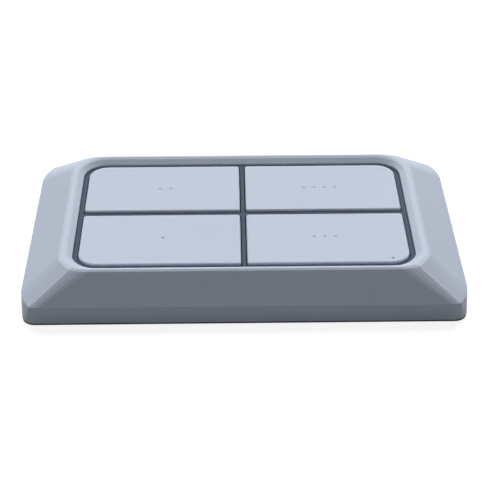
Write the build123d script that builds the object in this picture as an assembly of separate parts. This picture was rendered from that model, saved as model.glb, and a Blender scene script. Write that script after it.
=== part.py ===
from build123d import *
from math import atan2, cos, degrees, radians, sin, tan
import os

# Wall button remote: a bevelled cover with four push buttons, held by magnets on a thin wall plate.
# The origin is the middle of the flat back face. +Z points away from the wall, and +X runs along
# the long side. All sizes are in millimetres.

# Cover, outside
length = 86.4                 # along X, over the skirt
width = 56.0                  # along Y, over the skirt
skirt_height = 3.5            # upright band at the foot of the slopes
skirt_radius = 3.0            # corner of the skirt's foot, in plan
skirt_lead = 2.0              # the ends start to turn in this far before that corner
slope_rise = 5.3              # from the skirt's top to the ridge
end_slope_run = 7.35          # how far the two end slopes lean in
side_slope_run = 5.0          # how far the two long slopes lean in
ridge_width = 0.8             # narrow flat band at the top of the slopes
ridge_bevel = 0.25            # on the ridge's two edges

# Mitres, where an end slope meets a long slope. Each is a facet with one crisp edge, which starts almost
# as a point at the skirt and widens up to the ridge.
mitre_foot_x = 1.9            # middle of the facet's foot, from the skirt's end
mitre_foot_y = 0.55           # and from its long side
mitre_foot_width = 0.16
mitre_top_x = 1.67            # middle of its top, from the end of the ridge
mitre_top_y = 2.08            # and from the ridge's long side
mitre_top_width = 2.8
crease_step = 0.03            # tiny flats that break the crisp edge
# Every corner outside is made of short flats. These are their angles to the long sides, in plan.
long_angles = (6.0, 14.0, 22.0)
crease_angles = (30.0, 38.0, 46.0)
facet_angle = 55.0
end_angles = (62.0, 71.0, 81.0)
inner_slope_run = 1.45        # inner slope, from the ridge in to the window
inner_slope_drop = 1.0        # inner slope, from the ridge down to the window

# Cover, inside
wall = 1.6
hollow_radius = 3.0
shoulder_drop = 0.55          # the hollow starts to lean in this far below the skirt's top
roof = 1.7                    # plastic under the ridge
collar_wall = 1.4             # collar round the window that sits on the button tray
collar_groove = 0.45          # room between the collar and the slope of the roof
boss_size = 4.2               # square boss that takes a case screw
boss_cover = 0.6              # plastic between a boss and the outside of the slope

# Wall plate
plate_thickness = 1.8
plate_lip = 0.5               # edge of the plate that shows as a dark line under the skirt
plate_lip_inset = 0.4         # set in from the skirt
plate_clearance = 0.4         # round the raised middle of the plate, inside the skirt
seam = 0.1                    # between the plate's edge and the skirt
screw_spacing = 60.0          # wall screws, along X
screw_hole_diameter = 4.2
screw_head_diameter = 8.0     # countersink at the front of the plate
screw_land = 0.3              # straight part of the hole at the wall
pad_length = 30.0             # adhesive foam pads, along X
pad_width = 13.0
pad_thickness = 0.6
pad_offset = 17.5             # of a pad's middle from the plate's middle, along Y
strike_size = 10.5            # square steel plates that the magnets hold on to
strike_thickness = 0.8

# Buttons
button_gap = 1.2              # between a cap and the window's edge
column_gap = 1.2              # between left and right caps
row_gap = 1.8                 # between front and back caps
cap_proud = 0.15              # cap tops above the window's edge
cap_thickness = 1.25
cap_radius = 3.9              # outer corner of the block of four caps
cap_inner_radius = 0.6        # the other three corners of a cap
cap_edge = 0.22               # bevel of the top edges
travel = 0.5                  # of a button
press_room = 0.05             # left under a pressed cap
dimple_width = 0.95           # marks that number the buttons
dimple_floor = 0.45
dimple_depth = 0.14
dimple_sides = 12
dimple_pitch = 2.15
dimple_inset_x = 0.4          # dimple rows from the cap's middle, towards the remote's middle
dimple_inset_y = 0.3
nub_size = 2.6                # square nub that pushes the switch
nub_length = 0.3
leg_length = 2.0              # guide legs, along X
leg_width = 0.9               # along Y
leg_clearance = 0.1           # in the tray's slots
hook_reach = 0.35             # catches under the tray
hook_height = 0.35
hook_play = 0.05
outer_leg_inset = 5.5         # outer legs from the cap's outer end
inner_leg_room = 0.9          # inner legs from the edge of the hole for the coin cell
leg_side_inset = 2.5          # legs from the cap's sides
pinhole_diameter = 0.6        # window of the status light, in one cap
pinhole_end_distance = 3.45   # from the cap's outer end
pinhole_side_distance = 1.45  # from the cap's outer side

# Button tray, the dark grid between the caps
tray_floor = 0.7
tray_clearance = 0.25         # round the floor, inside the cover
tray_radius = 9.0
rim_gap = 0.1                 # between the tray's rim and the window
rib_gap = 0.2                 # between a cap and the ribs round it
rib_drop = 0.55               # rib tops below the cap tops
nub_room = 0.3                # round a nub in the floor's hole
standoff_size = 3.6           # square standoff that takes a board screw
light_pipe_diameter = 1.2
light_pipe_flange = 1.7
light_pipe_flange_height = 0.25

# Circuit board and what is on it
board_gap = 1.05              # between the board and the tray's floor
board_thickness = 0.8
board_margin = 1.5            # board past the window, all round
board_radius = 5.0
switch_size = 4.5             # low push switches, one under each cap
switch_height = 1.0
plunger_size = 2.0            # square
plunger_room = 0.05           # round a plunger in its bore
plunger_floor = 0.05          # switch plastic under the bore
board_screw_inset = 1.0       # board screws from the window's ends
board_screw_head_diameter = 3.0
board_screw_head_height = 0.8
board_screw_core = 1.4
board_screw_hole = 1.6
board_screw_bite = 0.45       # how far a screw goes into the tray's floor
led_length = 1.6
led_width = 0.8
led_height = 0.6
under_board_inset = 2.8       # radio board and small parts from the board's sides
under_board_gap = 0.5         # and from the posts that carry the board
radio_length = 14.0
radio_width = 8.4
radio_thickness = 0.5
shield_length = 9.6
shield_width = 7.4
shield_height = 0.8
shield_wall = 0.2
chip_size = 4.0               # square controller chip under the board
chip_height = 0.8
bead_length = 1.6             # small parts beside it
bead_gap = 0.8                # between them and the chip
bead_width = 0.8
bead_height = 0.6
bead_pitch = 1.6

# Coin cell, 20 mm by 2.5 mm, and its contacts
cell_diameter = 20.0
cell_thickness = 2.5
cell_gap = 0.05               # between the cell and its door
cell_bevel = 0.3
lid_diameter = 17.8
lid_proud = 0.25              # the lid stands above the can
lid_sunk = 0.4                # and is set this deep in it
lid_bevel = 0.15
gasket_width = 0.3
gasket_proud = 0.1
board_cell_gap = 0.6          # round the cell, where it passes through the board
contact_thickness = 0.25
contact_gap = 0.1             # between the side contact and the cell
contact_height = 0.75
contact_half_angle = 26.0
contact_foot_angle = 8.0
contact_foot_reach = 0.8      # of the feet, past the edge of the board's hole
strip_width = 3.0
strip_tip = 3.5               # from the cell's middle
strip_foot = 1.6

# Rear housing
housing_clearance = 0.2       # inside the cover
housing_floor = 0.9
rim_wall = 1.2
rim_height = 0.8
case_screw_inset_x = 5.0      # case screws from the skirt's ends
case_screw_inset_y = 6.5      # and from its long sides
case_screw_head_diameter = 3.6
case_screw_head_height = 1.0
case_screw_sink = 0.1         # heads below the back face
case_screw_grip = 0.8         # plastic under a head
case_screw_core = 1.9
case_screw_length = 3.2       # under the head
case_screw_pocket = 0.3       # hole past the screw's tip
shank_sides = 8
head_sides = 24
recess_reach = 0.6            # cross recess in the heads, as parts of a head's diameter
recess_width = 0.12
recess_depth = 0.4            # and as a part of its height
screw_clearance = 0.1         # round heads and shanks
foot_size = 5.0               # square foot under the cover's boss
post_size = 3.4               # square post that carries the board
post_inset = 2.2              # posts from the window's ends
post_inset_side = 2.8         # and from its sides
magnet_diameter = 8.0
magnet_height = 1.35
magnet_clearance = 0.1
magnet_wall = 0.8
magnet_gap = 0.4              # between the magnets' sockets and the door's well
socket_height = 0.9

# Battery door, a quarter-turn disc
door_diameter = 24.0
door_clearance = 0.2
door_recess = 0.1             # below the housing's back face
door_rim_clearance = 0.7      # between the cell and the door's rim
door_tab_reach = 1.2
door_tab_height = 0.55
door_tab_angle = 16.0
door_notch_angle = 20.0
door_tabs = 3
door_turn = 40.0              # from locked to open
door_play = 0.05              # between the tabs and the floor
well_clearance = 0.4          # round the tabs
well_wall = 1.0
well_drop = 0.15              # top of the well below the board
coin_slot_length = 13.0
coin_slot_width = 1.8
coin_slot_depth = 0.4

# Working sizes
past = 1.0                    # cutters reach this far past what they cut
small_sides = 12              # of small round holes and rods, which have flat sides
well_sides = 60               # of the battery well

# Levels, from the wall upwards
skirt_bottom = plate_lip + seam
skirt_top = skirt_bottom + skirt_height
ridge_top = skirt_top + slope_rise
bevel_level = ridge_top - ridge_bevel
window_top = ridge_top - inner_slope_drop
cap_top = window_top + cap_proud
cap_bottom = cap_top - cap_thickness
nub_bottom = cap_bottom - nub_length
tray_top = cap_bottom - travel - press_room
tray_bottom = tray_top - tray_floor
rib_top = cap_top - rib_drop
hook_top = tray_bottom - hook_play
board_top = tray_bottom - board_gap
board_bottom = board_top - board_thickness
floor_top = plate_thickness + housing_floor
cell_bottom = floor_top + cell_gap
can_top = cell_bottom + cell_thickness - lid_proud
head_bottom = plate_thickness + case_screw_sink
head_top = head_bottom + case_screw_head_height
foot_top = head_top + case_screw_grip
case_screw_tip = head_top + case_screw_length
board_screw_tip = tray_bottom + board_screw_bite
plunger_bottom = board_top + plunger_floor + travel + press_room
tab_bottom = floor_top + door_play
tab_top = tab_bottom + door_tab_height
well_top = board_bottom - well_drop

# Plan sizes that follow from the ones above
ridge_length = length - 2 * end_slope_run
ridge_depth = width - 2 * side_slope_run
crest_length = ridge_length - 2 * ridge_width
crest_depth = ridge_depth - 2 * ridge_width
window_length = crest_length - 2 * inner_slope_run
window_depth = crest_depth - 2 * inner_slope_run
window_radius = cap_radius + button_gap
block_length = window_length - 2 * button_gap
block_depth = window_depth - 2 * button_gap
cap_length = (block_length - column_gap) / 2
cap_depth = (block_depth - row_gap) / 2
cap_x = (block_length + column_gap) / 4
cap_y = (block_depth + row_gap) / 4
hollow_length = length - 2 * wall
hollow_depth = width - 2 * wall
collar_length = window_length + 2 * collar_wall
collar_depth = window_depth + 2 * collar_wall
collar_radius = window_radius + collar_wall
shoulder = skirt_top - shoulder_drop
hollow_top = ridge_top - roof
board_length = window_length + 2 * board_margin
board_depth = window_depth + 2 * board_margin
case_screw_x = length / 2 - case_screw_inset_x
case_screw_y = width / 2 - case_screw_inset_y
board_screw_x = window_length / 2 - board_screw_inset
post_x = window_length / 2 - post_inset
post_y = window_depth / 2 - post_inset_side
door_radius = door_diameter / 2
tab_radius = door_radius + door_tab_reach
well_radius = tab_radius + well_clearance
magnet_x = well_radius + well_wall + magnet_gap + magnet_wall + magnet_clearance + magnet_diameter / 2
board_hole = cell_diameter + 2 * board_cell_gap
post_edge = post_x - post_size / 2 - under_board_gap
radio_x = -(post_edge - radio_length / 2)
radio_y = board_depth / 2 - under_board_inset - radio_width / 2
chip_x = post_edge - chip_size / 2 - bead_gap - bead_length
chip_y = board_depth / 2 - under_board_inset - chip_size / 2
pinhole_x = cap_x + cap_length / 2 - pinhole_end_distance
pinhole_y = -(cap_y + cap_depth / 2 - pinhole_side_distance)

# Buttons are numbered as their dimples count. Each has its own quarter of the window.
quarters = {1: (-1, -1), 2: (-1, 1), 3: (1, -1), 4: (1, 1)}
status_button = 3


def slab(size_x, size_y, radius, low, high):
    """Plate with rounded corners in plan, between two levels."""
    return Pos(0, 0, low) * extrude(RectangleRounded(size_x, size_y, radius), high - low)


def block(size_x, size_y, low, high, x=0.0, y=0.0):
    """Plain block between two levels."""
    box = Box(size_x, size_y, high - low, align=(Align.CENTER, Align.CENTER, Align.MIN))
    return Pos(x, y, low) * box


def disc(diameter, low, high, x=0.0, y=0.0):
    """Round disc or rod between two levels."""
    rod = Cylinder(diameter / 2, high - low, align=(Align.CENTER, Align.CENTER, Align.MIN))
    return Pos(x, y, low) * rod


def ring(outer, inner, low, high, x=0.0, y=0.0):
    """Round ring between two levels."""
    return disc(outer, low, high, x, y) - disc(inner, low - past, high + past, x, y)


def sector(radius, low, high, middle, half_angle):
    """Slice of a pie about the Z axis, used to keep part of a ring."""
    reach = radius / cos(radians(half_angle))
    first = radians(middle - half_angle)
    last = radians(middle + half_angle)
    corners = [(0, 0), (reach * cos(first), reach * sin(first)), (reach * cos(last), reach * sin(last))]
    return Pos(0, 0, low) * extrude(make_face(Polyline(*corners, close=True)), high - low)


def flared(size_x, size_y, radius, low, high, run):
    """Opening with rounded corners whose sides lean out between two levels."""
    lean = degrees(atan2(run, high - low))
    return Pos(0, 0, low) * extrude(RectangleRounded(size_x, size_y, radius), high - low, taper=-lean)


def prism(diameter, sides, low, high, x=0.0, y=0.0):
    """Bar with flat sides between two levels, its corners on a circle."""
    return Pos(x, y, low) * extrude(RegularPolygon(diameter / 2, sides), high - low)


def stack(outlines):
    """Solid with flat faces through outlines that have equal numbers of corners."""
    faces = []
    for points in (outlines[0], outlines[-1]):
        faces.append(make_face(Polyline(*points, close=True)))
    for low, high in zip(outlines, outlines[1:]):
        for number in range(len(low)):
            following = (number + 1) % len(low)
            corners = (low[number], low[following], high[following], high[number])
            faces.append(make_face(Polyline(*corners, close=True)))
    return Solid(Shell(faces))


def corner_points(lengths):
    """Corner from the lengths of its flats, as distances in from the two sides of the outline."""
    angles = [radians(angle) for angle in (*long_angles, *crease_angles, facet_angle, *end_angles)]
    inset_x = sum(size * cos(angle) for size, angle in zip(lengths, angles))
    inset_y = 0.0
    points = [(inset_x, inset_y)]
    for size, angle in zip(lengths, angles):
        inset_x -= size * cos(angle)
        inset_y += size * sin(angle)
        points.append((inset_x, inset_y))
    return points


def round_corner(radius, lead):
    """Flats that follow a round corner, with a longer last one on the end's side."""
    angles = (0.0, *long_angles, *crease_angles, facet_angle, *end_angles, 90.0)
    lengths = [radius * (tan(radians(angle - before) / 2) + tan(radians(after - angle) / 2))
               for before, angle, after in zip(angles, angles[1:], angles[2:])]
    lengths[-1] += lead
    return corner_points(lengths)


def mitre_corner(inset_x, inset_y, facet):
    """Flats of a corner with a crisp facet, whose middle is set in from the two sides."""
    facet_turn = radians(facet_angle)
    creases = [crease_step] * len(crease_angles)
    rise = inset_y - facet / 2 * sin(facet_turn) - sum(crease_step * sin(radians(a)) for a in crease_angles)
    long_step = rise / sum(sin(radians(angle)) for angle in long_angles)
    reach = inset_x - facet / 2 * cos(facet_turn)
    end_step = reach / sum(cos(radians(angle)) for angle in end_angles)
    return corner_points([long_step] * len(long_angles) + creases + [facet] + [end_step] * len(end_angles))


def outline(size_x, size_y, corner, level):
    """Rectangle with the same corner mirrored into all four."""
    points = []
    for sign_x, sign_y in ((1, 1), (-1, 1), (-1, -1), (1, -1)):
        for inset_x, inset_y in corner[::-1] if sign_x == sign_y else corner:
            points.append((sign_x * (size_x / 2 - inset_x), sign_y * (size_y / 2 - inset_y), level))
    return points


def slope_outline(rise, corner):
    """Outline of the four slopes at a height above the skirt's top."""
    share = rise / slope_rise
    return outline(length - 2 * share * end_slope_run, width - 2 * share * side_slope_run,
                   corner, skirt_top + rise)


def cover_shape():
    """Outside of the cover: skirt, four slopes, the mitres at the corners and the ridge."""
    return stack([
        outline(length, width, round_corner(skirt_radius, skirt_lead), skirt_bottom),
        slope_outline(0, mitre_corner(mitre_foot_x, mitre_foot_y, mitre_foot_width)),
        slope_outline(slope_rise - ridge_bevel, mitre_corner(mitre_top_x, mitre_top_y, mitre_top_width)),
        outline(ridge_length - 2 * ridge_bevel, ridge_depth - 2 * ridge_bevel,
                mitre_corner(mitre_top_x, mitre_top_y, mitre_top_width), ridge_top),
    ])


def cut_corners(size_x, size_y, cut, level):
    """Rectangle with its corners cut off, for hollows that nobody sees."""
    return outline(size_x, size_y, [(cut, 0), (0, cut)], level)


def hollow_size(level):
    """Length and depth of the cover's hollow at a level under the slopes."""
    share = (level - shoulder) / (hollow_top - shoulder)
    top_length = collar_length + 2 * collar_groove
    top_depth = collar_depth + 2 * collar_groove
    return (hollow_length + share * (top_length - hollow_length),
            hollow_depth + share * (top_depth - hollow_depth))


def make_cover_frame():
    """Bevelled cover with its window, the collar round the window and four screw bosses."""
    solid = cover_shape()
    share = 1 - ridge_bevel / inner_slope_drop
    bevel_size = (window_length + 2 * share * inner_slope_run, window_depth + 2 * share * inner_slope_run)
    bevel_radius = window_radius + share * inner_slope_run
    cover = solid - flared(window_length, window_depth, window_radius, window_top, bevel_level,
                           share * inner_slope_run)
    cover -= flared(*bevel_size, bevel_radius, bevel_level, ridge_top,
                    crest_length / 2 + ridge_bevel - bevel_size[0] / 2)
    cover -= slab(window_length, window_depth, window_radius, skirt_bottom, window_top)
    hollow = slab(hollow_length, hollow_depth, hollow_radius, skirt_bottom, shoulder)
    hollow += stack([cut_corners(*hollow_size(shoulder), hollow_radius, shoulder),
                     cut_corners(*hollow_size(hollow_top), collar_radius, hollow_top)])
    hollow -= slab(collar_length, collar_depth, collar_radius, tray_top, ridge_top)
    cover -= hollow
    inside = Pos(0, 0, -boss_cover) * solid
    for sign_x, sign_y in quarters.values():
        x = sign_x * case_screw_x
        y = sign_y * case_screw_y
        cover += block(boss_size, boss_size, foot_top, ridge_top, x, y) & inside
        cover -= prism(case_screw_core, shank_sides, foot_top - past,
                       case_screw_tip + case_screw_pocket, x, y)
    return cover


def make_wall_plate():
    """Thin plate on the wall: a lip under the skirt and a raised middle inside it."""
    lip_length = length - 2 * plate_lip_inset
    lip_depth = width - 2 * plate_lip_inset
    plate = slab(lip_length, lip_depth, skirt_radius - plate_lip_inset, 0, plate_lip)
    plate += slab(hollow_length - 2 * plate_clearance, hollow_depth - 2 * plate_clearance,
                  hollow_radius - plate_clearance, 0, plate_thickness)
    for side in (-1, 1):
        x = side * screw_spacing / 2
        sink = Cone(screw_hole_diameter / 2, screw_head_diameter / 2, plate_thickness - screw_land,
                    align=(Align.CENTER, Align.CENTER, Align.MIN))
        plate -= Pos(x, 0, screw_land) * sink
        plate -= disc(screw_hole_diameter, -past, plate_thickness, x)
        plate -= block(pad_length, pad_width, -past, pad_thickness, 0, side * pad_offset)
        plate -= block(strike_size, strike_size, plate_thickness - strike_thickness, plate_thickness + past,
                       side * magnet_x)
    return plate


def make_rear_housing():
    """Back shell: floor, low rim, the well of the battery door, board posts and magnet sockets."""
    size_x = hollow_length - 2 * housing_clearance
    size_y = hollow_depth - 2 * housing_clearance
    rim_top = floor_top + rim_height
    radius = hollow_radius - housing_clearance
    housing = slab(size_x, size_y, radius, plate_thickness, rim_top)
    housing -= slab(size_x - 2 * rim_wall, size_y - 2 * rim_wall, radius - rim_wall,
                    floor_top, rim_top + past)
    housing += prism(2 * (well_radius + well_wall), well_sides, plate_thickness, well_top)
    housing -= prism(2 * well_radius, well_sides, floor_top, well_top + past)
    for sign_x, sign_y in quarters.values():
        housing += block(foot_size, foot_size, plate_thickness, foot_top,
                         sign_x * case_screw_x, sign_y * case_screw_y)
        housing += block(post_size, post_size, plate_thickness, board_bottom,
                         sign_x * post_x, sign_y * post_y)
    for side in (-1, 1):
        inner = magnet_diameter + 2 * magnet_clearance
        outer = inner + 2 * magnet_wall
        socket_top = floor_top + socket_height
        housing += block(outer, outer, plate_thickness, socket_top, side * magnet_x)
        housing -= block(inner, inner, floor_top, socket_top + past, side * magnet_x)
    head_pocket = case_screw_head_diameter + 2 * screw_clearance
    for sign_x, sign_y in quarters.values():
        x = sign_x * case_screw_x
        y = sign_y * case_screw_y
        housing -= block(head_pocket, head_pocket, 0, head_top, x, y)
        housing -= prism(case_screw_core + 2 * screw_clearance, shank_sides, 0, foot_top + past, x, y)
    housing -= disc(door_diameter + 2 * door_clearance, 0, floor_top)
    notch_radius = tab_radius + door_clearance
    for number in range(door_tabs):
        middle = 90 + number * 360 / door_tabs + door_turn
        notch = disc(2 * notch_radius, 0, floor_top)
        housing -= notch & sector(notch_radius, 0, floor_top, middle, door_notch_angle / 2)
    return housing


def make_battery_door():
    """Disc with a coin slot outside, and a rim with three tabs inside."""
    bottom = plate_thickness + door_recess
    door = disc(door_diameter, bottom, floor_top)
    inner = cell_diameter + 2 * door_rim_clearance
    door += ring(door_diameter, inner, bottom, tab_top)
    for number in range(door_tabs):
        middle = 90 + number * 360 / door_tabs
        tab = ring(2 * tab_radius, inner, tab_bottom, tab_top)
        door += tab & sector(tab_radius, tab_bottom, tab_top, middle, door_tab_angle / 2)
    door -= block(coin_slot_length, coin_slot_width, 0, bottom + coin_slot_depth)
    return door


def make_button_tray():
    """Dark grid: a floor under the caps, a rim round them and two ribs between them."""
    floor_length, floor_depth = hollow_size(tray_top)
    tray = slab(floor_length - 2 * tray_clearance, floor_depth - 2 * tray_clearance, tray_radius,
                tray_bottom, tray_top)
    tray += slab(window_length - 2 * rim_gap, window_depth - 2 * rim_gap, window_radius - rim_gap,
                 tray_bottom, rib_top)
    tray -= slab(block_length + 2 * rib_gap, block_depth + 2 * rib_gap, cap_radius + rib_gap,
                 tray_top, rib_top + past)
    rib_length = window_length - 2 * rim_gap - button_gap
    rib_depth = window_depth - 2 * rim_gap - button_gap
    tray += block(column_gap - 2 * rib_gap, rib_depth, tray_bottom, rib_top)
    tray += block(rib_length, row_gap - 2 * rib_gap, tray_bottom, rib_top)
    for x, y in board_screw_places():
        tray += block(standoff_size, standoff_size, board_top, tray_bottom, x, y)
        tray -= prism(board_screw_core, shank_sides, board_top - past, board_screw_tip, x, y)
    for sign_x, sign_y in quarters.values():
        tray -= block(nub_size + 2 * nub_room, nub_size + 2 * nub_room, tray_bottom - past, tray_top + past,
                      sign_x * cap_x, sign_y * cap_y)
        for x, y, outwards in leg_places(sign_x, sign_y):
            tray -= block(leg_length + 2 * leg_clearance, leg_width + 2 * leg_clearance,
                          tray_bottom - past, tray_top + past, x, y)
    tray -= prism(light_pipe_diameter, small_sides, tray_bottom - past, tray_top + past, pinhole_x, pinhole_y)
    return tray


def leg_places(sign_x, sign_y):
    """Middle of each guide leg of one cap, and which way along Y its hook points."""
    spread = cap_depth / 2 - leg_side_inset
    places = []
    for reach in (block_length / 2 - outer_leg_inset, board_hole / 2 + inner_leg_room):
        for outwards in (1, -1):
            places.append((sign_x * reach, sign_y * (cap_y + outwards * spread), sign_y * outwards))
    return places


def cap_outline(sign_x, sign_y):
    """One quarter of the block of caps, with the block's round corner and three tighter ones."""
    face = Pos(sign_x * cap_x, sign_y * cap_y, cap_bottom) * Rectangle(cap_length, cap_depth)
    outwards = Axis((0, 0, 0), (sign_x, sign_y, 0))
    face = fillet(face.vertices().sort_by(outwards)[:-1], cap_inner_radius)
    return fillet(face.vertices().sort_by(outwards)[-1], cap_radius)


def make_button_cap(number):
    """Flat cap with its dimples, the nub that pushes the switch and four hooked guide legs."""
    sign_x, sign_y = quarters[number]
    x = sign_x * cap_x
    y = sign_y * cap_y
    cap = extrude(cap_outline(sign_x, sign_y), cap_thickness, dir=(0, 0, 1))
    cap = chamfer(cap.edges().group_by(Axis.Z)[-1], cap_edge)
    row_x = x - sign_x * dimple_inset_x
    row_y = y - sign_y * dimple_inset_y
    for place in range(number):
        dot_x = row_x + (place - (number - 1) / 2) * dimple_pitch
        floor = Pos(dot_x, row_y, cap_top - dimple_depth) * RegularPolygon(dimple_floor / 2, dimple_sides)
        mouth = Pos(dot_x, row_y, cap_top) * RegularPolygon(dimple_width / 2, dimple_sides)
        cap -= loft([floor, mouth], ruled=True)
    cap += block(nub_size, nub_size, nub_bottom, cap_bottom, x, y)
    for leg_x, leg_y, outwards in leg_places(sign_x, sign_y):
        cap += block(leg_length, leg_width, hook_top - hook_height, cap_bottom, leg_x, leg_y)
        cap += block(leg_length, leg_width + hook_reach, hook_top - hook_height, hook_top,
                     leg_x, leg_y + outwards * hook_reach / 2)
    if number == status_button:
        cap -= prism(pinhole_diameter, small_sides, cap_bottom - past, cap_top + past, pinhole_x, pinhole_y)
    return cap


def board_screw_places():
    """Where the two board screws stand."""
    return [(-board_screw_x, 0), (board_screw_x, 0)]


def make_screw(head, head_height, core, head_low, tip, x, y):
    """Flat head with a cross recess in its outer face, and a plain shank that stands for the thread."""
    top = head_low + head_height
    screw = prism(head, head_sides, head_low, top, x, y) + prism(core, shank_sides, top, tip, x, y)
    arm = recess_reach * head
    slot = recess_width * head
    recess_top = head_low + recess_depth * head_height
    screw -= block(arm, slot, head_low - past, recess_top, x, y)
    screw -= block(slot, arm, head_low - past, recess_top, x, y)
    return screw


def make_circuit_board():
    """Green board with the hole for the coin cell and the screw holes."""
    board = slab(board_length, board_depth, board_radius, board_bottom, board_top)
    board -= disc(board_hole, board_bottom - past, board_top + past)
    for x, y in board_screw_places():
        board -= prism(board_screw_hole, small_sides, board_bottom - past, board_top + past, x, y)
    return board


def make_switch_bodies():
    """Low square switch bodies with a bore for the plunger."""
    bodies = []
    bore = plunger_size + 2 * plunger_room
    for sign_x, sign_y in quarters.values():
        x = sign_x * cap_x
        y = sign_y * cap_y
        top = board_top + switch_height
        body = block(switch_size, switch_size, board_top, top, x, y)
        bodies.append(body - block(bore, bore, board_top + plunger_floor, top + past, x, y))
    return Compound(bodies)


def make_coin_cell():
    """Can, gasket and lid of the coin cell."""
    gasket_outer = lid_diameter + 2 * gasket_width
    can = disc(cell_diameter, cell_bottom, can_top)
    can = chamfer(can.edges().filter_by(GeomType.CIRCLE).sort_by(Axis.Z)[:1], cell_bevel)
    can -= disc(gasket_outer, can_top - lid_sunk, can_top + past)
    gasket = ring(gasket_outer, lid_diameter, can_top - lid_sunk, can_top + gasket_proud)
    lid = disc(lid_diameter, can_top - lid_sunk, can_top + lid_proud)
    lid = chamfer(lid.edges().filter_by(GeomType.CIRCLE).sort_by(Axis.Z)[-1:], lid_bevel)
    return can, gasket, lid


def make_side_contact():
    """Curved spring beside the cell with two feet on the board."""
    inner = cell_diameter / 2 + contact_gap
    outer = inner + contact_thickness
    top = board_top + contact_thickness
    low = top - contact_height
    contact = ring(2 * outer, 2 * inner, low, top) & sector(outer, low, top, 90, contact_half_angle)
    foot_radius = board_hole / 2 + contact_foot_reach
    feet = ring(2 * foot_radius, 2 * inner, board_top, top)
    for side in (-1, 1):
        middle = 90 + side * (contact_half_angle - contact_foot_angle / 2)
        contact += feet & sector(foot_radius, board_top, top, middle, contact_foot_angle / 2)
    return contact


def make_lid_contact():
    """Strip spring from the board on to the lid of the cell."""
    foot_start = board_hole / 2 + contact_foot_reach
    level = can_top + lid_proud
    foot = block(strip_width, strip_foot, board_top, board_top + contact_thickness,
                 0, -(foot_start + strip_foot / 2))
    arm_length = foot_start + contact_thickness - strip_tip
    arm = block(strip_width, arm_length, level, level + contact_thickness,
                0, -(strip_tip + arm_length / 2))
    riser = block(strip_width, contact_thickness, board_top, level + contact_thickness,
                  0, -(foot_start + contact_thickness / 2))
    return foot + arm + riser


def make_radio_shield():
    """Pressed tin lid, open towards the radio board."""
    top = board_bottom - radio_thickness
    shield = block(shield_length, shield_width, top - shield_height, top, radio_x, radio_y)
    shield -= block(shield_length - 2 * shield_wall, shield_width - 2 * shield_wall,
                    top - shield_height + shield_wall, top, radio_x, radio_y)
    return shield


def make_chip_components():
    """Controller chip and small parts beside it, under the board."""
    pieces = [block(chip_size, chip_size, board_bottom - chip_height, board_bottom, chip_x, chip_y)]
    for side in (-1, 1):
        for row in (-1, 0, 1):
            x = chip_x + side * (chip_size / 2 + bead_gap + bead_length / 2)
            y = chip_y + row * bead_pitch
            pieces.append(block(bead_length, bead_width, board_bottom - bead_height, board_bottom, x, y))
    return Compound(pieces)


def make_light_pipe():
    """Clear rod through the tray's floor, with a small square flange under it."""
    bottom = board_top + led_height + press_room
    pipe = prism(light_pipe_diameter, small_sides, bottom, tray_top, pinhole_x, pinhole_y)
    return pipe + block(light_pipe_flange, light_pipe_flange, tray_bottom - light_pipe_flange_height,
                        tray_bottom, pinhole_x, pinhole_y)


def make_case_screws():
    """Four screws through the back shell into the cover."""
    return Compound([make_screw(case_screw_head_diameter, case_screw_head_height, case_screw_core,
                                head_bottom, case_screw_tip, sign_x * case_screw_x, sign_y * case_screw_y)
                     for sign_x, sign_y in quarters.values()])


def make_board_screws():
    """Two screws through the board into the tray."""
    return Compound([make_screw(board_screw_head_diameter, board_screw_head_height, board_screw_core,
                                board_bottom - board_screw_head_height, board_screw_tip, x, y)
                     for x, y in board_screw_places()])


def pair(make, *sizes):
    """Two like pieces, one each side of the remote's middle."""
    return Compound([make(*sizes, side * magnet_x) for side in (-1, 1)])


can, gasket, lid = make_coin_cell()
nodes = {
    "wall_plate": make_wall_plate(),
    "adhesive_pads": Compound([block(pad_length, pad_width, 0, pad_thickness, 0, side * pad_offset)
                               for side in (-1, 1)]),
    "strike_plates": pair(block, strike_size, strike_size, plate_thickness - strike_thickness,
                          plate_thickness),
    "rear_housing": make_rear_housing(),
    "battery_door": make_battery_door(),
    "magnets": pair(disc, magnet_diameter, floor_top, floor_top + magnet_height),
    "case_screws": make_case_screws(),
    "coin_cell_can": can,
    "coin_cell_gasket": gasket,
    "coin_cell_lid": lid,
    "positive_contact": make_side_contact(),
    "negative_contact": make_lid_contact(),
    "circuit_board": make_circuit_board(),
    "board_screws": make_board_screws(),
    "switch_bodies": make_switch_bodies(),
    "radio_board": block(radio_length, radio_width, board_bottom - radio_thickness, board_bottom,
                         radio_x, radio_y),
    "radio_shield": make_radio_shield(),
    "chip_components": make_chip_components(),
    "status_led": block(led_length, led_width, board_top, board_top + led_height, pinhole_x, pinhole_y),
    "light_pipe": make_light_pipe(),
    "button_tray": make_button_tray(),
    "cover_frame": make_cover_frame(),
}
for number, (sign_x, sign_y) in quarters.items():
    nodes[f"button_{number}_cap"] = make_button_cap(number)
    nodes[f"button_{number}_plunger"] = block(plunger_size, plunger_size, plunger_bottom, nub_bottom,
                                              sign_x * cap_x, sign_y * cap_y)

os.makedirs("parts", exist_ok=True)
for name, shape in nodes.items():
    export_step(shape, f"parts/{name}.step")
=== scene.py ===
"""Finishes, light and camera for the wall button remote.

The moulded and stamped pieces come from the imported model. This script gives each of them the
finish of the real piece, lays the remote on a pale floor and sets the camera.
"""

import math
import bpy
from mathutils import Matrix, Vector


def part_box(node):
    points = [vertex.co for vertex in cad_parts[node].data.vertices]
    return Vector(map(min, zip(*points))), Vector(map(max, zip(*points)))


bl_info = {
    "name": "Wall Button Remote",
    "version": (1, 0, 0),
    "blender": (4, 5, 0),
    "location": "View3D > Sidebar > Remote",
    "description": "Finishes, light and camera for a bevelled wall button remote",
    "category": "Object",
}

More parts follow.
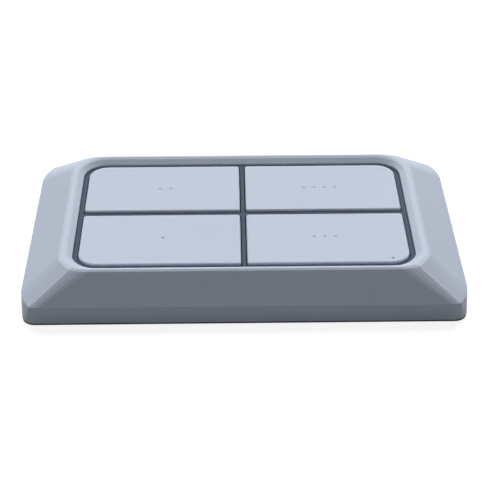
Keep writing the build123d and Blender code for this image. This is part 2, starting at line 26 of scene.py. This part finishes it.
import bpy
from mathutils import Matrix, Vector

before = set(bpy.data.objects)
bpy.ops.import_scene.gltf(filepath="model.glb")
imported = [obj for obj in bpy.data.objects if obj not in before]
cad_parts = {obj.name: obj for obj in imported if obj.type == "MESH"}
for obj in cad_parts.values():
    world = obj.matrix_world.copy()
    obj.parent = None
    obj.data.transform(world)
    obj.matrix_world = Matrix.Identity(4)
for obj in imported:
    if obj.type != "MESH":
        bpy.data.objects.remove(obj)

MM = 0.001
WHITE = (1.0, 1.0, 1.0, 1.0)
BUTTONS = (1, 2, 3, 4)
LENGTHWISE, CROSSWISE = 0, 1       # ways that the lines in drawn metal run

# Moulded plastic
PIGMENT_PATCH = 14 * MM            # size of the patches in which its colour varies
EDGE_ROUNDING = 0.15 * MM          # radius that a mould leaves on each edge
HOLLOW_SIZE = 0.5 * MM             # painted shade darkens hollows up to about this size
PAINTED_SHADE_START, PAINTED_SHADE_FULL = 0.97, 0.8  # open share of the surroundings, where the painted shade starts and is full
PAINTED_SHADE_MOST = 0.5                   # most of the painted shade mixed into the colour
GLOW_DEPTH = 1.2 * MM              # how far red light goes into pale plastic
GLOW_REACH = (1.0, 0.85, 0.65)     # how far red, green and blue light go, as parts of that

# The cover's mitres, along which a highlight is painted
SKIRT_HEIGHT = 3.6 * MM            # upright foot of the cover, under the mitres
RIDGE_BEVEL = 0.35 * MM            # from the top of the cover down to the top of the mitres
MITRE_REACH = 6.6 * MM             # of the mitres, in from the cover's long sides
MITRE_FADE = 0.2 * MM              # length in which the painted highlight line ends
CREASE_RADIUS = 0.6 * MM           # of the rounding that shows where an edge is
CREASE_START, CREASE_FULL = 0.9985, 0.9969  # cosine of its lean, where the line starts and is full

# Floor and camera
FLOOR_REACH = 3.0                  # metres from the middle
FLOOR_DROP = 0.1 * MM              # under the object, so that no two faces share a plane
PLATE_MARGIN = 3 * MM              # rim of the wall plate that has floor under it
PAPER_TONE = 0.36                  # plain grey under the lamps
PAPER_GLOW = 0.86                  # lifts that grey to white where the camera sees it
IMAGE_SIZE = 493.0                 # pixels
SENSOR_WIDTH = 36.0                # mm


def linear(code):
    """Linear colour, with alpha 1, from an sRGB hex code such as C2CADB."""
    channels = []
    for start in (0, 2, 4):
        value = int(code[start:start + 2], 16) / 255
        if value <= 0.04045:
            channels.append(value / 12.92)
        else:
            channels.append(((value + 0.055) / 1.055) ** 2.4)
    return (*channels, 1.0)


def colour_property(name, description, code):
    """Colour setting whose default is written as a hex code."""
    return bpy.props.FloatVectorProperty(
        name=name, description=description, default=linear(code),
        subtype="COLOR", size=4, min=0.0, max=1.0)


class RemoteColours(bpy.types.PropertyGroup):
    """Colours of the pieces."""
    cover: colour_property("Cover", "Moulded cover with its slopes", "C5D0E3")
    caps: colour_property("Caps", "Four push buttons", "C4CFE4")
    tray: colour_property("Tray", "Grid between the caps", "445263")
    plate: colour_property("Wall plate", "Plate under the skirt", "24282E")
    housing: colour_property("Housing", "Back shell", "B4BCCB")
    door: colour_property("Battery door", "Quarter-turn disc in the back shell", "AEB6C5")
    board: colour_property("Circuit board", "Solder mask of the main board", "1F5C3A")
    radio: colour_property("Radio board", "Solder mask of the radio board", "1C4A63")
    foam: colour_property("Foam", "Adhesive pads", "E4E3DC")


class RemoteGrain(bpy.types.PropertyGroup):
    """Sizes of the surface patterns."""
    # A real mould's grain is about 0.1 mm, the lines in drawn metal 0.03 mm and foam cells
    # 0.2 mm. All four are drawn coarser than that, so that they show in the render.
    moulded: bpy.props.FloatProperty(
        name="Moulded grain", description="Spacing of the matt texture, in mm",
        default=0.32, min=0.05, max=3.0)
    satin: bpy.props.FloatProperty(
        name="Satin grain", description="Spacing of the caps' finer texture, in mm",
        default=0.24, min=0.05, max=3.0)
    brushed: bpy.props.FloatProperty(
        name="Brushed lines", description="Spacing of drawn lines in metal, in mm",
        default=0.12, min=0.02, max=2.0)
    foam_cell: bpy.props.FloatProperty(
        name="Foam cells", description="Size of the foam's cells, in mm",
        default=0.45, min=0.05, max=3.0)


class RemoteView(bpy.types.PropertyGroup):
    """Where the camera stands."""
    turn: bpy.props.FloatProperty(
        name="Turn", description="Camera turned about the upright axis",
        default=math.radians(-0.87), subtype="ANGLE")
    elevation: bpy.props.FloatProperty(
        name="Elevation", description="Camera above the floor",
        default=math.radians(31.66), subtype="ANGLE")
    roll: bpy.props.FloatProperty(
        name="Roll", description="Camera turned about its own line of sight",
        default=math.radians(-0.06), subtype="ANGLE")
    distance: bpy.props.FloatProperty(
        name="Distance", description="From the camera to the middle of the remote",
        default=0.3174, min=0.05, unit="LENGTH")
    focal_pixels: bpy.props.FloatProperty(
        name="Focal length", description="In pixels of the square picture",
        default=1536.3, min=100.0)
    target: bpy.props.FloatVectorProperty(
        name="Target", description="Point in the middle of the picture",
        default=(0.00069, -0.00055, 0.0006), subtype="XYZ", unit="LENGTH")


class RemoteLight(bpy.types.PropertyGroup):
    """Lamps, and the light from all round."""
    key_strength: bpy.props.FloatProperty(
        name="Keys", description="Each of two lights from behind and above",
        default=1.43, min=0.0)
    key_elevation: bpy.props.FloatProperty(
        name="Key elevation", description="Height of the keys over the floor",
        default=math.radians(45.5), subtype="ANGLE")
    key_swing: bpy.props.FloatProperty(
        name="Key swing", description="Of each key to its side of the middle",
        default=math.radians(25.0), subtype="ANGLE")
    key_spread: bpy.props.FloatProperty(
        name="Key spread", description="Apparent width of a key",
        default=math.radians(30.0), subtype="ANGLE")
    all_round: bpy.props.FloatProperty(
        name="All round", description="Even light from all directions",
        default=0.119, min=0.0)


def connect(tree, node, values=None, links=None):
    """Sets inputs of a node to plain values, and links others to what feeds them."""
    for name, value in (values or {}).items():
        node.inputs[name].default_value = value
    for name, source in (links or {}).items():
        tree.links.new(source, node.inputs[name])


def add(tree, kind, values=None, links=None, **settings):
    """Adds a node with its settings, the values of its inputs and what is linked to them."""
    made = tree.nodes.new(kind)
    for name, value in settings.items():
        setattr(made, name, value)
    connect(tree, made, values, links)
    return made


def empty_finish(name):
    """New material, its empty tree, its shader and the coordinates of the piece, in metres."""
    material = bpy.data.materials.new(name)
    material.use_nodes = True
    tree = material.node_tree
    tree.nodes.clear()
    shader = add(tree, "ShaderNodeBsdfPrincipled")
    add(tree, "ShaderNodeOutputMaterial", links={"Surface": shader.outputs["BSDF"]})
    place = add(tree, "ShaderNodeTexCoord").outputs["Object"]
    return material, tree, shader, place


def shade(colour, factor):
    """The same colour, lighter or darker."""
    return (*[min(1.0, channel * factor) for channel in colour[:3]], 1.0)


def dress(piece_names, material):
    """Gives CAD pieces a finish in place of the plain one."""
    for name in piece_names:
        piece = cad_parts[name]
        piece.data.materials.clear()
        piece.data.materials.append(material)


def paint_mitre_highlights(tree, place, normal, base, mitres):
    """Painted highlight: the crisp edges of the mitres are painted nearly white, in place of the
    light that their small rounding catches. An edge is where the rounded normal leans away from
    the face's own. It is a mitre's between the skirt and the ridge, near the cover's long sides."""
    wide = add(tree, "ShaderNodeBevel", {"Radius": CREASE_RADIUS}, samples=8)
    crease = add(tree, "ShaderNodeVectorMath", links={0: wide.outputs["Normal"], 1: normal},
                 operation="DOT_PRODUCT")
    line = add(tree, "ShaderNodeMapRange", {"From Min": CREASE_START, "From Max": CREASE_FULL},
               {"Value": crease.outputs["Value"]}).outputs["Result"]
    spot = add(tree, "ShaderNodeSeparateXYZ", links={"Vector": place})
    side = add(tree, "ShaderNodeMath", links={0: spot.outputs["Y"]}, operation="ABSOLUTE")
    for limit, fade, distance in ((mitres["bottom"], MITRE_FADE, spot.outputs["Z"]),
                                  (mitres["top"], -MITRE_FADE, spot.outputs["Z"]),
                                  (mitres["side"], MITRE_FADE, side.outputs["Value"])):
        inside = add(tree, "ShaderNodeMapRange", {"From Min": limit, "From Max": limit + fade},
                     {"Value": distance})
        line = add(tree, "ShaderNodeMath", links={0: line, 1: inside.outputs["Result"]},
                   operation="MULTIPLY").outputs["Value"]
    # Painted highlight: the edge line is mixed toward near-white.
    painted_highlight = add(tree, "ShaderNodeMix", {"B": linear("EEF5FF")}, {"Factor": line, "A": base},
               data_type="RGBA")
    return painted_highlight.outputs["Result"]


def moulded_plastic(name, colour, grain, depth, roughness, gloss_level=0.5, glow=0.0,
                    mitres=None):
    """Injection-moulded plastic, with the IOR of ABS. The spark-eroded mould leaves a fine matt
    grain, and the pigment is a touch uneven over a few centimetres, so a flat face is never one
    flat tone. The mould rounds each edge, so it catches light. Hollows that look up are darkened
    with painted shade, and mitres, where given, get a painted highlight. Thin pale pieces let some
    light through (glow), so their sides aren't black in a gap. The grain's spacing and its depth
    are in mm."""
    material, tree, shader, place = empty_finish(name)
    uneven, painted_shade_tone, gloss_change = 0.015, 0.45, 0.05
    pigment = add(tree, "ShaderNodeTexNoise", {"Scale": 1 / PIGMENT_PATCH, "Detail": 2.0},
                  {"Vector": place})
    pigment_tone = add(tree, "ShaderNodeMix",
                {"A": shade(colour, 1 - uneven), "B": shade(colour, 1 + uneven)},
                {"Factor": pigment.outputs["Fac"]}, data_type="RGBA")
    rounded = add(tree, "ShaderNodeBevel", {"Radius": EDGE_ROUNDING}, samples=8)
    # Painted shade: hollows that look up are mixed toward a darker copy of the colour.
    shelter = add(tree, "ShaderNodeAmbientOcclusion", {"Distance": HOLLOW_SIZE}, samples=12,
                  only_local=True)
    hollow = add(tree, "ShaderNodeMapRange",
                 {"From Min": PAINTED_SHADE_START, "From Max": PAINTED_SHADE_FULL, "To Max": PAINTED_SHADE_MOST},
                 {"Value": shelter.outputs["AO"]})
    face = add(tree, "ShaderNodeNewGeometry")
    facing = add(tree, "ShaderNodeSeparateXYZ", links={"Vector": face.outputs["Normal"]})
    painted_hollow_shade = add(tree, "ShaderNodeMath",
               links={0: hollow.outputs["Result"], 1: facing.outputs["Z"]},
               operation="MULTIPLY", use_clamp=True)
    with_painted_shade = add(tree, "ShaderNodeMix", {"B": shade(colour, painted_shade_tone)},
                {"Factor": painted_hollow_shade.outputs["Value"], "A": pigment_tone.outputs["Result"]},
                data_type="RGBA")
    base = with_painted_shade.outputs["Result"]
    # Painted highlight along the cover's mitres.
    if mitres:
        base = paint_mitre_highlights(tree, place, face.outputs["Normal"], base, mitres)
    fine = add(tree, "ShaderNodeTexNoise",
               {"Scale": 1 / (grain * MM), "Detail": 2.0, "Roughness": 0.6}, {"Vector": place})
    gloss = add(tree, "ShaderNodeMapRange",
                {"To Min": roughness - gloss_change, "To Max": roughness + gloss_change},
                {"Value": fine.outputs["Fac"]})
    bump = add(tree, "ShaderNodeBump", {"Strength": 0.5, "Distance": depth * MM},
               {"Height": fine.outputs["Fac"], "Normal": rounded.outputs["Normal"]})
    connect(tree, shader,
            {"IOR": 1.53, "Specular IOR Level": gloss_level, "Subsurface Weight": glow,
             "Subsurface Radius": GLOW_REACH, "Subsurface Scale": GLOW_DEPTH},
            {"Base Color": base, "Roughness": gloss.outputs["Result"],
             "Normal": bump.outputs["Normal"]})
    return material


def brushed_metal(name, colour, spacing, direction, roughness):
    """Rolled or drawn sheet. Fine parallel lines, their spacing in mm, run along one way and
    break the shine across them."""
    material, tree, shader, place = empty_finish(name)
    line_length = 60    # spacings
    gloss_change = 0.08
    stretch = [1 / (spacing * MM)] * 3
    stretch[direction] = 1 / (line_length * spacing * MM)
    lines_place = add(tree, "ShaderNodeMapping", {"Scale": stretch}, {"Vector": place})
    lines = add(tree, "ShaderNodeTexNoise", {"Scale": 1.0, "Detail": 2.0},
                {"Vector": lines_place.outputs["Vector"]})
    tone = add(tree, "ShaderNodeMix", {"A": shade(colour, 0.86), "B": shade(colour, 1.08)},
               {"Factor": lines.outputs["Fac"]}, data_type="RGBA")
    gloss = add(tree, "ShaderNodeMapRange",
                {"To Min": roughness - gloss_change, "To Max": roughness + gloss_change},
                {"Value": lines.outputs["Fac"]})
    bump = add(tree, "ShaderNodeBump", {"Strength": 0.25, "Distance": 0.004 * MM},
               {"Height": lines.outputs["Fac"]})
    connect(tree, shader, {"Metallic": 1.0},
            {"Base Color": tone.outputs["Result"], "Roughness": gloss.outputs["Result"],
             "Normal": bump.outputs["Normal"]})
    return material


def turned_metal(name, colour, spacing, roughness):
    """Pressed or turned round piece. Fine rings run round its axis, so the shine lies in a fan.
    The rings lie nearly twice as far apart as drawn lines, whose spacing is in mm."""
    material, tree, shader, place = empty_finish(name)
    unit = 6    # spacings. A wave repeats every 0.31 units, so rings lie 1.9 spacings apart.
    rings = add(tree, "ShaderNodeTexWave",
                {"Scale": 1 / (unit * spacing * MM), "Distortion": 1.5, "Detail": 3.0},
                {"Vector": place}, wave_type="RINGS", rings_direction="Z")
    tone = add(tree, "ShaderNodeMix", {"A": shade(colour, 0.9), "B": shade(colour, 1.05)},
               {"Factor": rings.outputs["Fac"]}, data_type="RGBA")
    gloss = add(tree, "ShaderNodeMapRange",
                {"To Min": roughness - 0.05, "To Max": roughness + 0.07},
                {"Value": rings.outputs["Fac"]})
    connect(tree, shader, {"Metallic": 1.0},
            {"Base Color": tone.outputs["Result"], "Roughness": gloss.outputs["Result"]})
    return material


def solder_mask(name, colour):
    """Fibreglass board under glossy solder mask. The copper tracks below show as slightly paler,
    raised lines, and the weave of the glass cloth as a faint cross pattern. The tracks are the
    joints of a brick pattern, 0.7 mm wide in rows 1.9 mm apart."""
    material, tree, shader, place = empty_finish(name)
    track_unit, cloth_step = 6 * MM, 0.5 * MM
    tracks = add(tree, "ShaderNodeTexBrick",
                 {"Scale": 1 / track_unit, "Mortar Size": 0.06, "Mortar Smooth": 0.1,
                  "Brick Width": 0.9, "Row Height": 0.32},
                 {"Vector": place}, offset=0.37)
    cloth = add(tree, "ShaderNodeTexChecker", {"Scale": 1 / cloth_step}, {"Vector": place})
    base = add(tree, "ShaderNodeMix", {"A": shade(colour, 0.95), "B": shade(colour, 1.05)},
               {"Factor": cloth.outputs["Fac"]}, data_type="RGBA")
    tone = add(tree, "ShaderNodeMix", {"B": shade(colour, 1.6)},
               {"Factor": tracks.outputs["Fac"], "A": base.outputs["Result"]},
               data_type="RGBA")
    bump = add(tree, "ShaderNodeBump", {"Strength": 0.6, "Distance": 0.03 * MM},
               {"Height": tracks.outputs["Fac"]})
    connect(tree, shader, {"Roughness": 0.28, "IOR": 1.55},
            {"Base Color": tone.outputs["Result"], "Normal": bump.outputs["Normal"]})
    return material


def acrylic_foam(name, colour, cell):
    """Closed-cell foam tape. Small round cells, their size in mm, give it a soft pitted face
    without any shine."""
    material, tree, shader, place = empty_finish(name)
    cells = add(tree, "ShaderNodeTexVoronoi", {"Scale": 1 / (cell * MM), "Randomness": 1.0},
                {"Vector": place})
    tone = add(tree, "ShaderNodeMix", {"A": shade(colour, 0.8), "B": colour},
               {"Factor": cells.outputs["Distance"]}, data_type="RGBA")
    bump = add(tree, "ShaderNodeBump", {"Strength": 0.7, "Distance": 0.08 * MM},
               {"Height": cells.outputs["Distance"]})
    connect(tree, shader, {"Roughness": 0.9},
            {"Base Color": tone.outputs["Result"], "Normal": bump.outputs["Normal"]})
    return material


def clear_acrylic(name):
    """Acrylic light pipe with a frosted end, which spreads the light and looks milky. It has
    faint flow lines from moulding."""
    material, tree, shader, place = empty_finish(name)
    flow_spacing = 0.6 * MM
    flow = add(tree, "ShaderNodeTexNoise", {"Scale": 1 / flow_spacing, "Detail": 1.0},
               {"Vector": place})
    bump = add(tree, "ShaderNodeBump", {"Strength": 0.1, "Distance": 0.01 * MM},
               {"Height": flow.outputs["Fac"]})
    connect(tree, shader,
            {"Base Color": linear("F2F6F8"), "Roughness": 0.35, "IOR": 1.49,
             "Transmission Weight": 0.6},
            {"Normal": bump.outputs["Normal"]})
    return material


def cast_epoxy(name, colour, inner, spot):
    """Cast epoxy of a small light source. It is milky, with a darker spot of phosphor in the
    middle, whose radius is in mm."""
    material, tree, shader, place = empty_finish(name)
    full = 0.7    # part of the spot's radius that is all phosphor
    low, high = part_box("status_led")
    middle = (low + high) / 2
    shift = add(tree, "ShaderNodeVectorMath", {1: middle}, {0: place}, operation="SUBTRACT")
    reach = add(tree, "ShaderNodeVectorMath", links={0: shift.outputs["Vector"]},
                operation="LENGTH")
    edge = add(tree, "ShaderNodeMapRange", {"From Min": full * spot * MM, "From Max": spot * MM},
               {"Value": reach.outputs["Value"]})
    tone = add(tree, "ShaderNodeMix", {"A": inner, "B": colour},
               {"Factor": edge.outputs["Result"]}, data_type="RGBA")
    connect(tree, shader, {"Roughness": 0.3, "IOR": 1.5},
            {"Base Color": tone.outputs["Result"]})
    return material


class FinishCover(bpy.types.Operator):
    """Finish the bevelled cover"""
    bl_idname = "remote.finish_cover"
    bl_label = "Cover"

    def execute(self, context):
        colours = context.scene.remote_colours
        grain = context.scene.remote_grain
        low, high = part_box("cover_frame")
        # Limits of the painted highlight along the mitres.
        mitres = {"bottom": low[2] + SKIRT_HEIGHT, "top": high[2] - RIDGE_BEVEL,
                  "side": high[1] - MITRE_REACH}
        dress(["cover_frame"], moulded_plastic(
            "matt_moulded_abs", colours.cover, grain.moulded,
            depth=0.012, roughness=0.48, mitres=mitres))
        return {"FINISHED"}


class FinishButtons(bpy.types.Operator):
    """Finish the four caps and the plungers under them"""
    bl_idname = "remote.finish_buttons"
    bl_label = "Buttons"

    def execute(self, context):
        colours = context.scene.remote_colours
        grain = context.scene.remote_grain
        caps = [f"button_{number}_cap" for number in BUTTONS]
        plungers = [f"button_{number}_plunger" for number in BUTTONS]
        dress(caps, moulded_plastic(
            "satin_moulded_abs", colours.caps, grain.satin,
            depth=0.008, roughness=0.56, glow=1.0))
        dress(plungers, moulded_plastic(
            "ivory_acetal", linear("D8D2C0"), grain.satin, depth=0.006, roughness=0.35))
        return {"FINISHED"}


class FinishTray(bpy.types.Operator):
    """Finish the dark tray, the light pipe and the status light"""
    bl_idname = "remote.finish_tray"
    bl_label = "Button tray"

    def execute(self, context):
        colours = context.scene.remote_colours
        grain = context.scene.remote_grain
        dress(["button_tray"], moulded_plastic(
            "slate_moulded_abs", colours.tray, grain.moulded,
            depth=0.012, roughness=0.7, gloss_level=0.2))
        dress(["light_pipe"], clear_acrylic("clear_acrylic"))
        dress(["status_led"], cast_epoxy(
            "cast_epoxy", linear("ECEAD8"), inner=linear("E3D45A"), spot=0.35))
        return {"FINISHED"}


class FinishWallPlate(bpy.types.Operator):
    """Finish the wall plate, its foam pads and its steel plates"""
    bl_idname = "remote.finish_wall_plate"
    bl_label = "Wall plate"

    def execute(self, context):
        colours = context.scene.remote_colours
        grain = context.scene.remote_grain
        dress(["wall_plate"], moulded_plastic(
            "dark_moulded_abs", colours.plate, grain.moulded,
            depth=0.015, roughness=0.6, gloss_level=0.3))
        dress(["adhesive_pads"], acrylic_foam("acrylic_foam_tape", colours.foam, grain.foam_cell))
        dress(["strike_plates"], brushed_metal(
            "zinc_plated_sheet", linear("A9ABAF"), grain.brushed, LENGTHWISE, roughness=0.42))
        return {"FINISHED"}


class FinishHousing(bpy.types.Operator):
    """Finish the back shell, its battery door, magnets and screws"""
    bl_idname = "remote.finish_housing"
    bl_label = "Rear housing"

    def execute(self, context):
        colours = context.scene.remote_colours
        grain = context.scene.remote_grain
        dress(["rear_housing"], moulded_plastic(
            "plain_moulded_abs", colours.housing, grain.moulded, depth=0.012, roughness=0.52))
        dress(["battery_door"], moulded_plastic(
            "door_moulded_abs", colours.door, grain.moulded, depth=0.012, roughness=0.5))
        dress(["magnets"], turned_metal(
            "nickel_plated_magnet", linear("C9C6C0"), grain.brushed, roughness=0.22))
        dress(["case_screws"], turned_metal(
            "zinc_plated_screw", linear("B4B6BA"), grain.brushed, roughness=0.35))
        return {"FINISHED"}


class FinishElectronics(bpy.types.Operator):
    """Finish the boards and what is soldered or screwed to them"""
    bl_idname = "remote.finish_electronics"
    bl_label = "Electronics"

    def execute(self, context):
        colours = context.scene.remote_colours
        grain = context.scene.remote_grain
        dress(["circuit_board"], solder_mask("green_solder_mask", colours.board))
        dress(["radio_board"], solder_mask("blue_solder_mask", colours.radio))
        dress(["radio_shield"], brushed_metal(
            "tin_plated_sheet", linear("C4C5C6"), grain.brushed, LENGTHWISE, roughness=0.34))
        dress(["switch_bodies"], moulded_plastic(
            "black_nylon", linear("232427"), grain.satin, depth=0.008, roughness=0.5))
        dress(["chip_components"], moulded_plastic(
            "black_epoxy_moulding", linear("1B1B1D"), grain.satin, depth=0.006, roughness=0.45))
        dress(["positive_contact", "negative_contact"], brushed_metal(
            "nickel_plated_spring", linear("CFCAC0"), grain.brushed, CROSSWISE, roughness=0.26))
        dress(["board_screws"], turned_metal(
            "black_oxide_screw", linear("4A4B4D"), grain.brushed, roughness=0.4))
        return {"FINISHED"}


class FinishCoinCell(bpy.types.Operator):
    """Finish the can, gasket and lid of the coin cell"""
    bl_idname = "remote.finish_coin_cell"
    bl_label = "Coin cell"

    def execute(self, context):
        grain = context.scene.remote_grain
        dress(["coin_cell_can"], turned_metal(
            "stainless_can", linear("C6C7C9"), grain.brushed, roughness=0.24))
        dress(["coin_cell_lid"], turned_metal(
            "stainless_lid", linear("CDCED0"), grain.brushed, roughness=0.3))
        dress(["coin_cell_gasket"], moulded_plastic(
            "black_polypropylene", linear("1E1E20"), grain.satin, depth=0.005, roughness=0.4))
        return {"FINISHED"}


class BuildStage(bpy.types.Operator):
    """Lay out the floor, the light and the camera"""
    bl_idname = "remote.build_stage"
    bl_label = "Stage"

    def execute(self, context):
        make_floor(context.scene)
        make_light(context.scene)
        make_camera(context.scene)
        context.scene.view_settings.view_transform = "Standard"
        return {"FINISHED"}


def seen_directly(tree):
    """1 for what the camera sees directly, in a mirror or through glass, and 0 for light on the
    object."""
    path = add(tree, "ShaderNodeLightPath")
    first = add(tree, "ShaderNodeMath",
                links={0: path.outputs["Is Camera Ray"], 1: path.outputs["Is Glossy Ray"]},
                operation="ADD")
    second = add(tree, "ShaderNodeMath",
                 links={0: first.outputs["Value"], 1: path.outputs["Is Transmission Ray"]},
                 operation="ADD", use_clamp=True)
    return second.outputs["Value"]


def white_paper(name):
    """Paper sweep of a photographer's table. It looks white with a faint shadow, throws little
    light back on the object, and is seen through from below."""
    material = bpy.data.materials.new(name)
    material.use_nodes = True
    tree = material.node_tree
    tree.nodes.clear()
    paper = add(tree, "ShaderNodeBsdfDiffuse", {"Color": shade(WHITE, PAPER_TONE)})
    glow = add(tree, "ShaderNodeEmission", {"Color": WHITE, "Strength": PAPER_GLOW})
    bright = add(tree, "ShaderNodeAddShader",
                 links={0: paper.outputs["BSDF"], 1: glow.outputs["Emission"]})
    upper = add(tree, "ShaderNodeMixShader",
                links={0: seen_directly(tree), 1: paper.outputs["BSDF"],
                       2: bright.outputs["Shader"]})
    side = add(tree, "ShaderNodeNewGeometry")
    clear = add(tree, "ShaderNodeBsdfTransparent")
    both = add(tree, "ShaderNodeMixShader",
               links={0: side.outputs["Backfacing"], 1: upper.outputs["Shader"],
                      2: clear.outputs["BSDF"]})
    add(tree, "ShaderNodeOutputMaterial", links={"Surface": both.outputs["Shader"]})
    return material


def make_floor(scene):
    """Four strips of floor round an opening. It is open under the middle of the wall plate, so
    that the plate's back gets light too."""
    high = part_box("wall_plate")[1]
    open_x = high[0] - PLATE_MARGIN
    open_y = high[1] - PLATE_MARGIN
    corners = [(side_x * reach_x, side_y * reach_y, -FLOOR_DROP)
               for reach_x, reach_y in ((FLOOR_REACH, FLOOR_REACH), (open_x, open_y))
               for side_x, side_y in ((-1, -1), (1, -1), (1, 1), (-1, 1))]
    strips = [(side, (side + 1) % 4, 4 + (side + 1) % 4, 4 + side) for side in range(4)]
    mesh = bpy.data.meshes.new("studio_floor")
    mesh.from_pydata(corners, [], strips)
    mesh.materials.append(white_paper("white_paper_sweep"))
    floor = bpy.data.objects.new("studio_floor", mesh)
    scene.collection.objects.link(floor)


def make_light(scene):
    """Two broad lights from behind and above, and an even light from all round."""
    light = scene.remote_light
    for name, side in (("left_key", 1), ("right_key", -1)):
        sun = bpy.data.lights.new(name, "SUN")
        sun.energy = light.key_strength
        sun.angle = light.key_spread
        key = bpy.data.objects.new(name, sun)
        key.rotation_euler = (light.key_elevation - math.pi / 2, 0.0, side * light.key_swing)
        scene.collection.objects.link(key)
    world = bpy.data.worlds.new("pale_room")
    world.use_nodes = True
    tree = world.node_tree
    tree.nodes.clear()
    strength = add(tree, "ShaderNodeMapRange", {"To Min": light.all_round, "To Max": 1.0},
                   {"Value": seen_directly(tree)})
    room = add(tree, "ShaderNodeBackground", {"Color": WHITE},
               {"Strength": strength.outputs["Result"]})
    add(tree, "ShaderNodeOutputWorld", links={"Surface": room.outputs["Background"]})
    scene.world = world


def make_camera(scene):
    """Camera in front of the remote's long side, looking down at it."""
    view = scene.remote_view
    turn, rise, roll = view.turn, view.elevation, view.roll
    back = Vector((math.sin(turn) * math.cos(rise), -math.cos(turn) * math.cos(rise),
                   math.sin(rise)))
    level = Vector((math.cos(turn), math.sin(turn), 0.0))
    above = back.cross(level)
    right = math.cos(roll) * level + math.sin(roll) * above
    up = math.cos(roll) * above - math.sin(roll) * level
    place = Vector(view.target) + back * view.distance
    lens = bpy.data.cameras.new("camera")
    lens.sensor_width = SENSOR_WIDTH
    lens.lens = view.focal_pixels / IMAGE_SIZE * SENSOR_WIDTH
    lens.clip_start = 0.01
    lens.clip_end = 20.0
    camera = bpy.data.objects.new("camera", lens)
    axes = Matrix((right, up, back)).transposed().to_4x4()
    camera.matrix_world = Matrix.Translation(place) @ axes
    scene.collection.objects.link(camera)
    scene.camera = camera


class RemotePanel(bpy.types.Panel):
    """Lists the steps and the settings in the sidebar"""
    bl_idname = "VIEW3D_PT_remote"
    bl_label = "Wall button remote"
    bl_space_type = "VIEW_3D"
    bl_region_type = "UI"
    bl_category = "Remote"

    def draw(self, context):
        for step in STEPS:
            self.layout.operator(step.bl_idname)
        for name, group in SETTINGS.items():
            settings = getattr(context.scene, name)
            for key in group.__annotations__:
                self.layout.prop(settings, key)


SETTINGS = {
    "remote_colours": RemoteColours,
    "remote_grain": RemoteGrain,
    "remote_view": RemoteView,
    "remote_light": RemoteLight,
}
STEPS = (FinishCover, FinishButtons, FinishTray, FinishWallPlate, FinishHousing,
         FinishElectronics, FinishCoinCell, BuildStage)


def register():
    """Registers the settings, the steps and the panel."""
    for name, group in SETTINGS.items():
        bpy.utils.register_class(group)
        setattr(bpy.types.Scene, name, bpy.props.PointerProperty(type=group))
    for step in STEPS:
        bpy.utils.register_class(step)
    bpy.utils.register_class(RemotePanel)


def unregister():
    """Takes everything out again."""
    bpy.utils.unregister_class(RemotePanel)
    for step in reversed(STEPS):
        bpy.utils.unregister_class(step)
    for name, group in SETTINGS.items():
        delattr(bpy.types.Scene, name)
        bpy.utils.unregister_class(group)


def main():
    """Runs every step."""
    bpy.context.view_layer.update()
    register()
    for step in STEPS:
        group, action = step.bl_idname.split(".")
        getattr(getattr(bpy.ops, group), action)()


if __name__ == "__main__":
    main()
